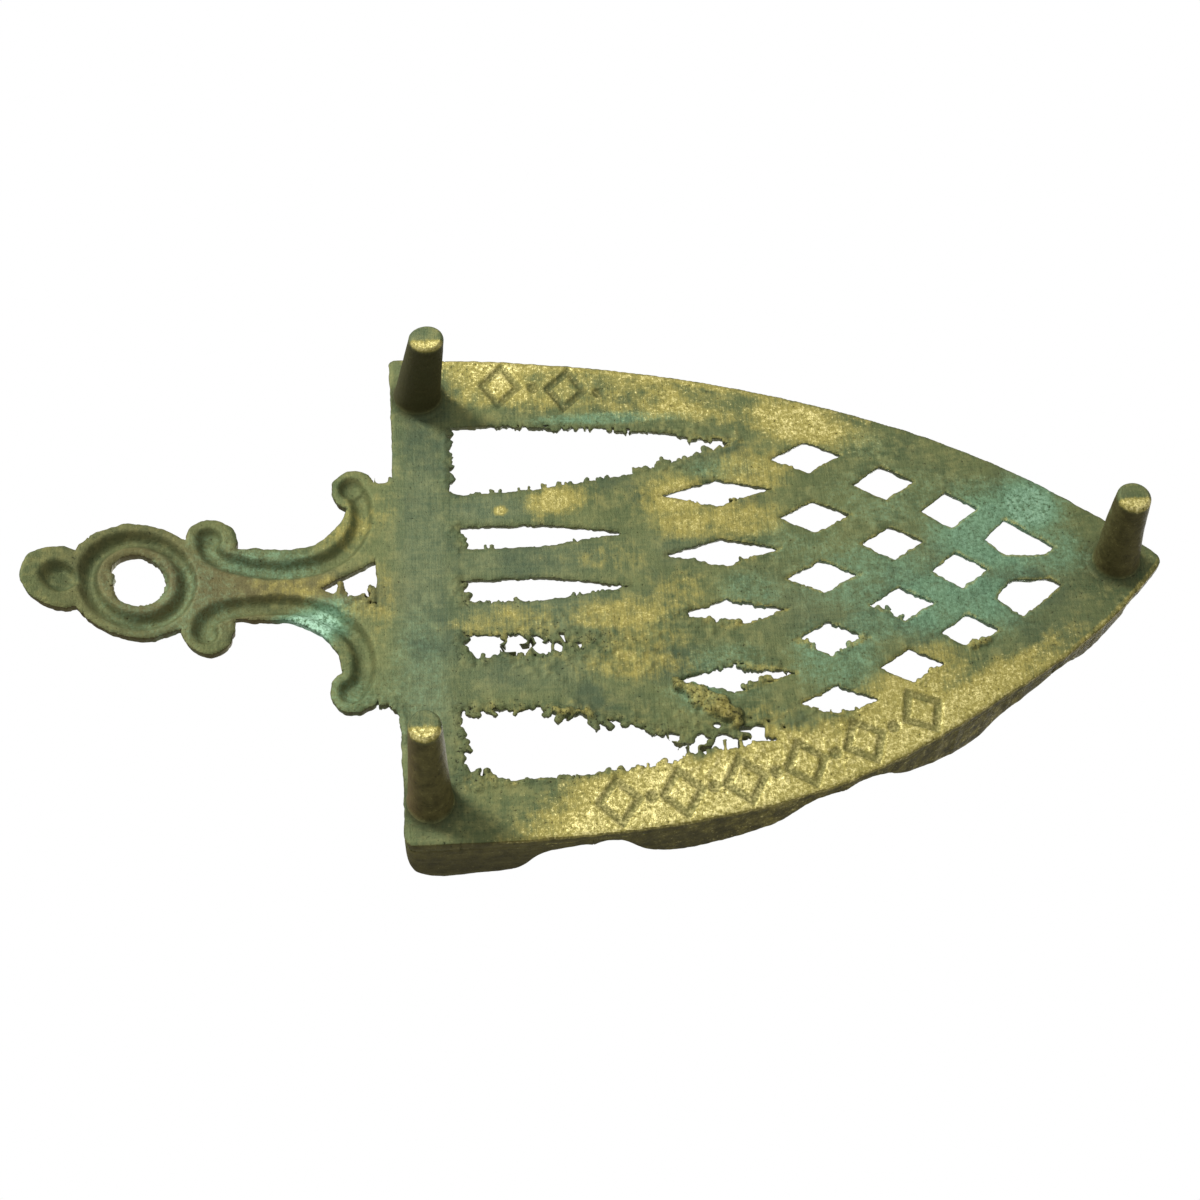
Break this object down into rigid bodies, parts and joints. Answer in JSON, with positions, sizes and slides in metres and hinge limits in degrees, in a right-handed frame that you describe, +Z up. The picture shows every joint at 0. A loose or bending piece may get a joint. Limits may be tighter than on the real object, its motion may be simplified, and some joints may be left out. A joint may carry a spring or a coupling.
{
  "type": "sad iron stand",
  "caption": "Cast brass stand for a sad iron: pierced pointed deck on tapered feet, lobed gallery round the edge, scrolled handle with a hanging ring.",
  "frame": {"origin": "middle of the overall length and width, on the plane that the three foot tips stand on", "axes": "+X along the stand from the handle to the pointed toe, +Y to the left when facing the toe, +Z up with the feet down"},
  "size_m": [0.232, 0.1172, 0.0398],
  "materials": {
    "deck": "aged cast brass, green-grey patina rubbed to granular gold on the rails",
    "gallery": "dark brown-olive cast brass, sand-cast skin",
    "feet": "dark olive-brown cast brass, tips worn bright",
    "handle": "grey-green patinated cast brass with verdigris in the hollows"
  },
  "bodies": {
    "root": {"heel_bar": "deck", "left_rail": "deck", "right_rail": "deck", "left_outer_slat": "deck", "left_inner_slat": "deck", "right_inner_slat": "deck", "right_outer_slat": "deck", "lattice_panel": "deck", "toe_plate": "deck", "left_heel_foot": "feet", "right_heel_foot": "feet", "toe_foot": "feet", "left_heel_gallery": "gallery", "left_side_gallery": "gallery", "left_front_gallery": "gallery", "left_toe_gallery": "gallery", "right_heel_gallery": "gallery", "right_side_gallery": "gallery", "right_front_gallery": "gallery", "right_toe_gallery": "gallery", "handle_root": "handle", "left_arm": "handle", "right_arm": "handle", "left_heel_scroll": "handle", "right_heel_scroll": "handle", "scroll_collar": "handle", "hanging_ring": "handle", "end_disc": "handle"}
  },
  "joints": []
}
